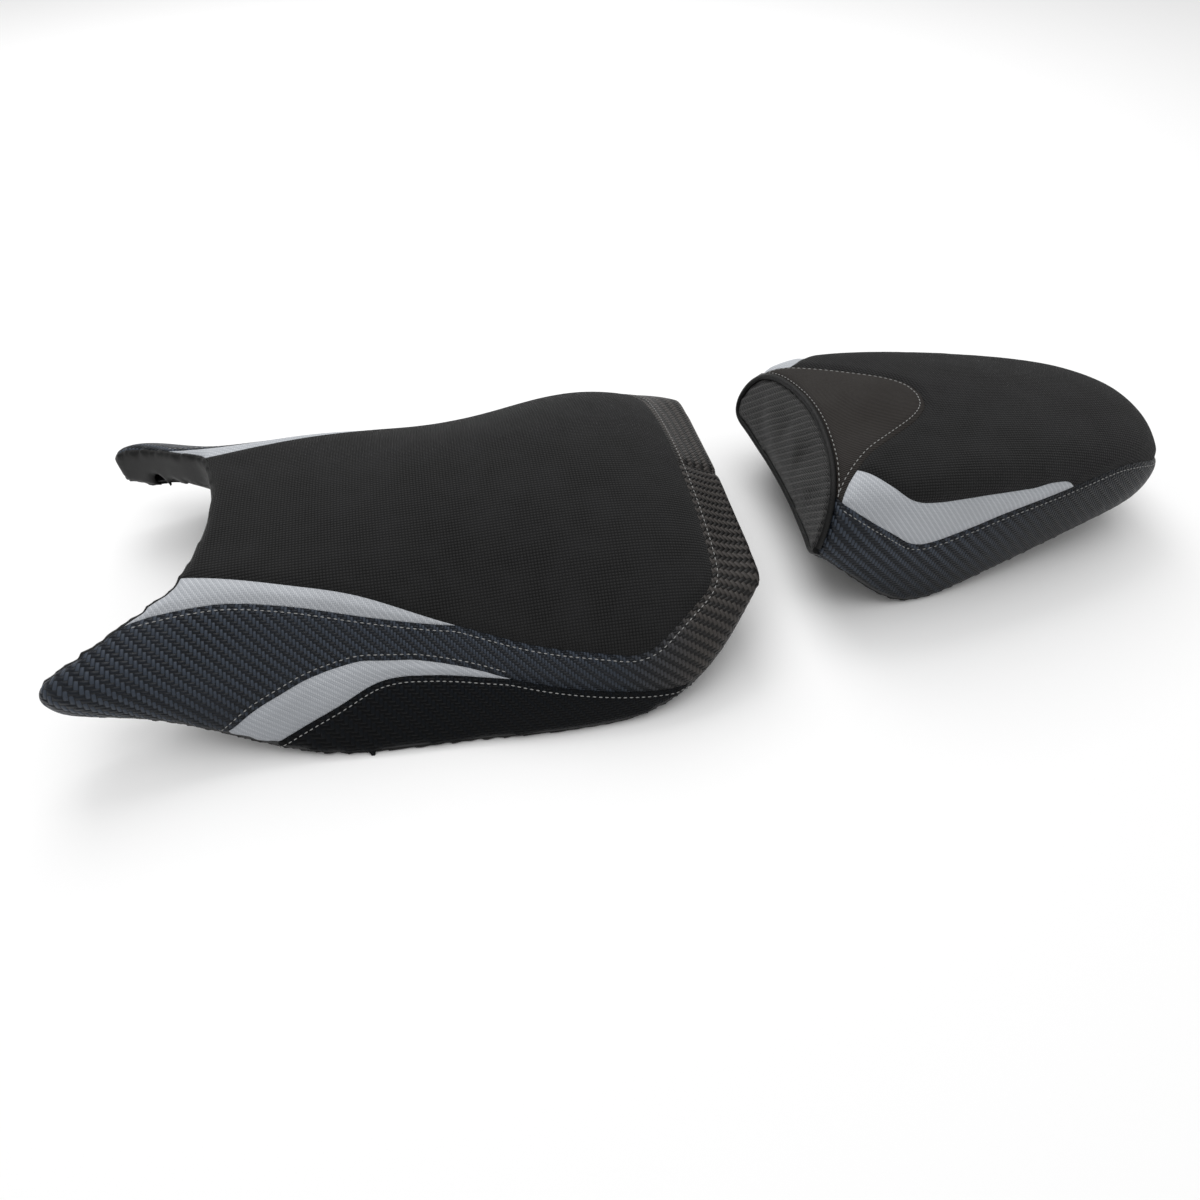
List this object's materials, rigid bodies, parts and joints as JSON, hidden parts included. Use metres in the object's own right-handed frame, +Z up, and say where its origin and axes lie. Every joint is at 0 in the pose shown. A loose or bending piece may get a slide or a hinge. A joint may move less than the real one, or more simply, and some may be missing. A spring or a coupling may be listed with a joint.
{
  "type": "motorcycle seat",
  "caption": "Motorcycle seat in two upholstered units, a wide rider seat with a tank notch and a narrow pillion seat, on plastic pans.",
  "frame": {"origin": "on the level surface the seat lies on, under the middle of its length and width", "axes": "+X forward, +Y to the bike's left, +Z up"},
  "size_m": [0.891, 0.3686, 0.1309],
  "materials": {
    "top_fabric": "ribbed, suede-like charcoal fabric",
    "silver_vinyl": "light silver vinyl with a fine embossed twill",
    "twill_vinyl": "slate black vinyl with an embossed diagonal twill",
    "dark_vinyl": "near-black twill vinyl",
    "black_vinyl": "plain black grained vinyl",
    "hem_vinyl": "backing of the turned-under vinyl",
    "foam": "moulded polyurethane foam",
    "pan_plastic": "black moulded polypropylene, fine grain",
    "staple_wire": "galvanised wire",
    "screw_steel": "zinc-plated steel",
    "zinc_steel": "zinc-plated pressed steel",
    "rubber": "moulded rubber"
  },
  "bodies": {
    "rider_seat": {"rider_base_pan": "pan_plastic", "rider_foam": "foam", "rider_hem": "hem_vinyl", "rider_staples": "staple_wire", "rider_front_wall": "black_vinyl", "rider_top_panel": "top_fabric", "rider_silver_upper_left": "silver_vinyl", "rider_silver_upper_right": "silver_vinyl", "rider_lower_panel_left": "dark_vinyl", "rider_lower_panel_right": "dark_vinyl", "rider_silver_lower_left": "silver_vinyl", "rider_silver_lower_right": "silver_vinyl", "rider_carbon_band_left": "twill_vinyl", "rider_carbon_band_right": "twill_vinyl", "rider_rear_bracket_left": "zinc_steel", "rider_rear_bracket_right": "zinc_steel", "rider_bracket_screws": "screw_steel", "rider_front_tongue": "zinc_steel", "rider_tongue_screws": "screw_steel", "rider_bumpers": "rubber"},
    "pillion_seat": {"pillion_base_pan": "pan_plastic", "pillion_foam": "foam", "pillion_hem": "hem_vinyl", "pillion_staples": "staple_wire", "pillion_front_wall": "black_vinyl", "pillion_front_welt": "black_vinyl", "pillion_side_panel_left": "twill_vinyl", "pillion_side_panel_right": "twill_vinyl", "pillion_tongue_panel": "twill_vinyl", "pillion_top_panel": "top_fabric", "pillion_silver_left": "silver_vinyl", "pillion_silver_right": "silver_vinyl", "pillion_striker_plate": "zinc_steel", "pillion_striker_rod": "zinc_steel", "pillion_striker_screws": "screw_steel", "pillion_front_hook_left": "zinc_steel", "pillion_front_hook_right": "zinc_steel", "pillion_hook_screws": "screw_steel", "pillion_bumpers": "rubber"}
  },
  "joints": [
    {"name": "pillion_lift", "type": "slide", "parent": "rider_seat", "child": "pillion_seat", "axis": [0, 0, 1], "range_m": [0, 0.15]}
  ]
}
